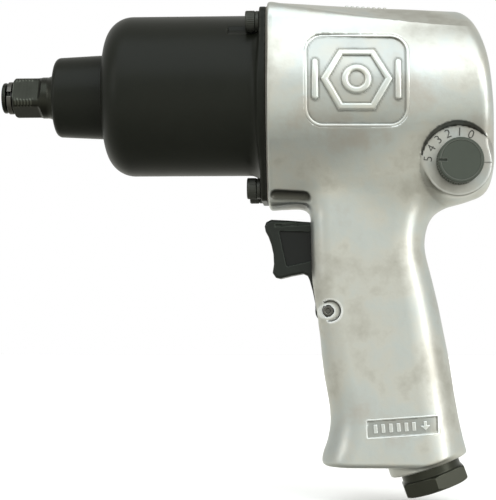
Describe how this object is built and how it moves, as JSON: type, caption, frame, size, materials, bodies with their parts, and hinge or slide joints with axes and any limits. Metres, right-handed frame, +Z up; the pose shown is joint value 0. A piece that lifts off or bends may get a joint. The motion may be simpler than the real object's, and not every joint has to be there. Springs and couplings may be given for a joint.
{
  "type": "impact wrench",
  "caption": "Pneumatic pistol-grip impact wrench with a square drive, rocking-hammer mechanism, tilt-valve trigger, power regulator knob and threaded air inlet.",
  "frame": {"origin": "centre of the square drive's tip, on the motor axis", "axes": "+Z up, -X forward out of the square drive, the regulator knob is on the -Y side"},
  "size_m": [0.1907, 0.0724, 0.1932],
  "materials": {
    "cast_aluminium": "satin cast, lightly polished",
    "black_steel": "satin black",
    "black_oxide": "black oxide",
    "drive_steel": "dark oiled steel",
    "bright_steel": "ground",
    "bronze": "sintered bronze",
    "brass": "turned",
    "rubber": "matte",
    "gasket_paper": "fibre",
    "vane_composite": "phenolic",
    "trigger_black": "satin black",
    "knob_grey": "dark anodised",
    "inlet_steel": "dark zinc"
  },
  "bodies": {
    "housing": {"motor_housing": "cast_aluminium", "hammer_case": "black_steel", "hammer_case_bushing": "bronze", "hammer_case_gasket": "gasket_paper", "case_screws": "black_oxide", "case_lock_washers": "black_oxide", "motor_clamp_washer": "bright_steel", "front_end_plate": "bright_steel", "rear_end_plate": "bright_steel", "motor_cylinder": "bright_steel", "cylinder_dowel_pin": "bright_steel", "rear_gasket": "gasket_paper", "front_bearing_outer_ring": "bright_steel", "rear_bearing_outer_ring": "bright_steel", "trigger_pin": "bright_steel", "plunger_bushing": "brass", "throttle_valve_seat": "brass", "throttle_valve_spring": "bright_steel", "inlet_strainer": "bright_steel", "inlet_bushing": "inlet_steel", "inlet_o_ring": "rubber", "reverse_valve_bushing": "bright_steel", "detent_balls": "bright_steel", "detent_springs": "bright_steel", "exhaust_deflector": "trigger_black"},
    "motor_rotor": {"rotor": "bright_steel", "rotor_vanes": "vane_composite", "front_bearing_inner_ring": "bright_steel", "rear_bearing_inner_ring": "bright_steel", "hammer_frame": "drive_steel", "hammer_pins": "bright_steel"},
    "drive_anvil": {"anvil": "drive_steel", "anvil_thrust_washer": "bright_steel", "socket_retaining_ring": "bright_steel", "retaining_ring_o_ring": "rubber"},
    "hammer_one": {"front_hammer": "drive_steel"},
    "hammer_two": {"rear_hammer": "drive_steel"},
    "front_ball_set": {"front_bearing_balls": "bright_steel", "front_bearing_cage": "brass"},
    "rear_ball_set": {"rear_bearing_balls": "bright_steel", "rear_bearing_cage": "brass"},
    "trigger_lever": {"trigger": "trigger_black"},
    "plunger": {"throttle_plunger": "brass"},
    "tilt_valve": {"throttle_valve": "brass", "throttle_valve_face": "rubber"},
    "selector": {"reverse_valve": "bright_steel", "reverse_valve_o_ring": "rubber", "reverse_lever": "knob_grey", "reverse_lever_screw": "black_oxide"},
    "regulator": {"power_regulator_knob": "knob_grey", "regulator_o_ring": "rubber"}
  },
  "joints": [
    {"name": "rotor_spin", "type": "hinge", "parent": "housing", "child": "motor_rotor", "pos_m": [0.12, 0, 0], "axis": [1, 0, 0], "continuous": true},
    {"name": "anvil_spin", "type": "hinge", "parent": "housing", "child": "drive_anvil", "pos_m": [0.03, 0, 0], "axis": [1, 0, 0], "continuous": true},
    {"name": "front_hammer_swing", "type": "hinge", "parent": "motor_rotor", "child": "hammer_one", "pos_m": [0.06285, 0, 0.022], "axis": [1, 0, 0], "range_deg": [-5, 5]},
    {"name": "rear_hammer_swing", "type": "hinge", "parent": "motor_rotor", "child": "hammer_two", "pos_m": [0.08215, 0, -0.022], "axis": [1, 0, 0], "range_deg": [-5, 5]},
    {"name": "front_ball_set_spin", "type": "hinge", "parent": "housing", "child": "front_ball_set", "pos_m": [0.11295, 0, 0], "axis": [1, 0, 0], "continuous": true},
    {"name": "rear_ball_set_spin", "type": "hinge", "parent": "housing", "child": "rear_ball_set", "pos_m": [0.1639, 0, 0], "axis": [1, 0, 0], "continuous": true},
    {"name": "trigger_pull", "type": "hinge", "parent": "housing", "child": "trigger_lever", "pos_m": [0.1278, 0, -0.0846], "axis": [0, 1, 0], "range_deg": [0, 10], "stiffness_Nm_per_rad": 0.6, "springref_deg": -14.32},
    {"name": "plunger_slide", "type": "slide", "parent": "housing", "child": "plunger", "axis": [1, 0, 0], "range_m": [0, 0.0041]},
    {"name": "valve_tilt", "type": "hinge", "parent": "housing", "child": "tilt_valve", "pos_m": [0.14045, 0, -0.09082], "axis": [0, 1, 0], "range_deg": [0, 7.8], "deforming": ["throttle_valve_spring"]},
    {"name": "reverse_lever_turn", "type": "hinge", "parent": "housing", "child": "selector", "pos_m": [0.1766, 0.028, -0.0292], "axis": [0, -1, 0], "range_deg": [0, 50]},
    {"name": "regulator_turn", "type": "hinge", "parent": "housing", "child": "regulator", "pos_m": [0.1766, -0.03, -0.0292], "axis": [0, 1, 0], "range_deg": [0, 107.5]}
  ],
  "couplings": [
    {"joint": "anvil_spin", "follows": "rotor_spin", "ratio": 1},
    {"joint": "front_ball_set_spin", "follows": "rotor_spin", "ratio": 0.38},
    {"joint": "rear_ball_set_spin", "follows": "rotor_spin", "ratio": 0.3722},
    {"joint": "plunger_slide", "follows": "trigger_pull", "m_per_rad": 0.0231},
    {"joint": "valve_tilt", "follows": "trigger_pull", "ratio": 0.765}
  ]
}
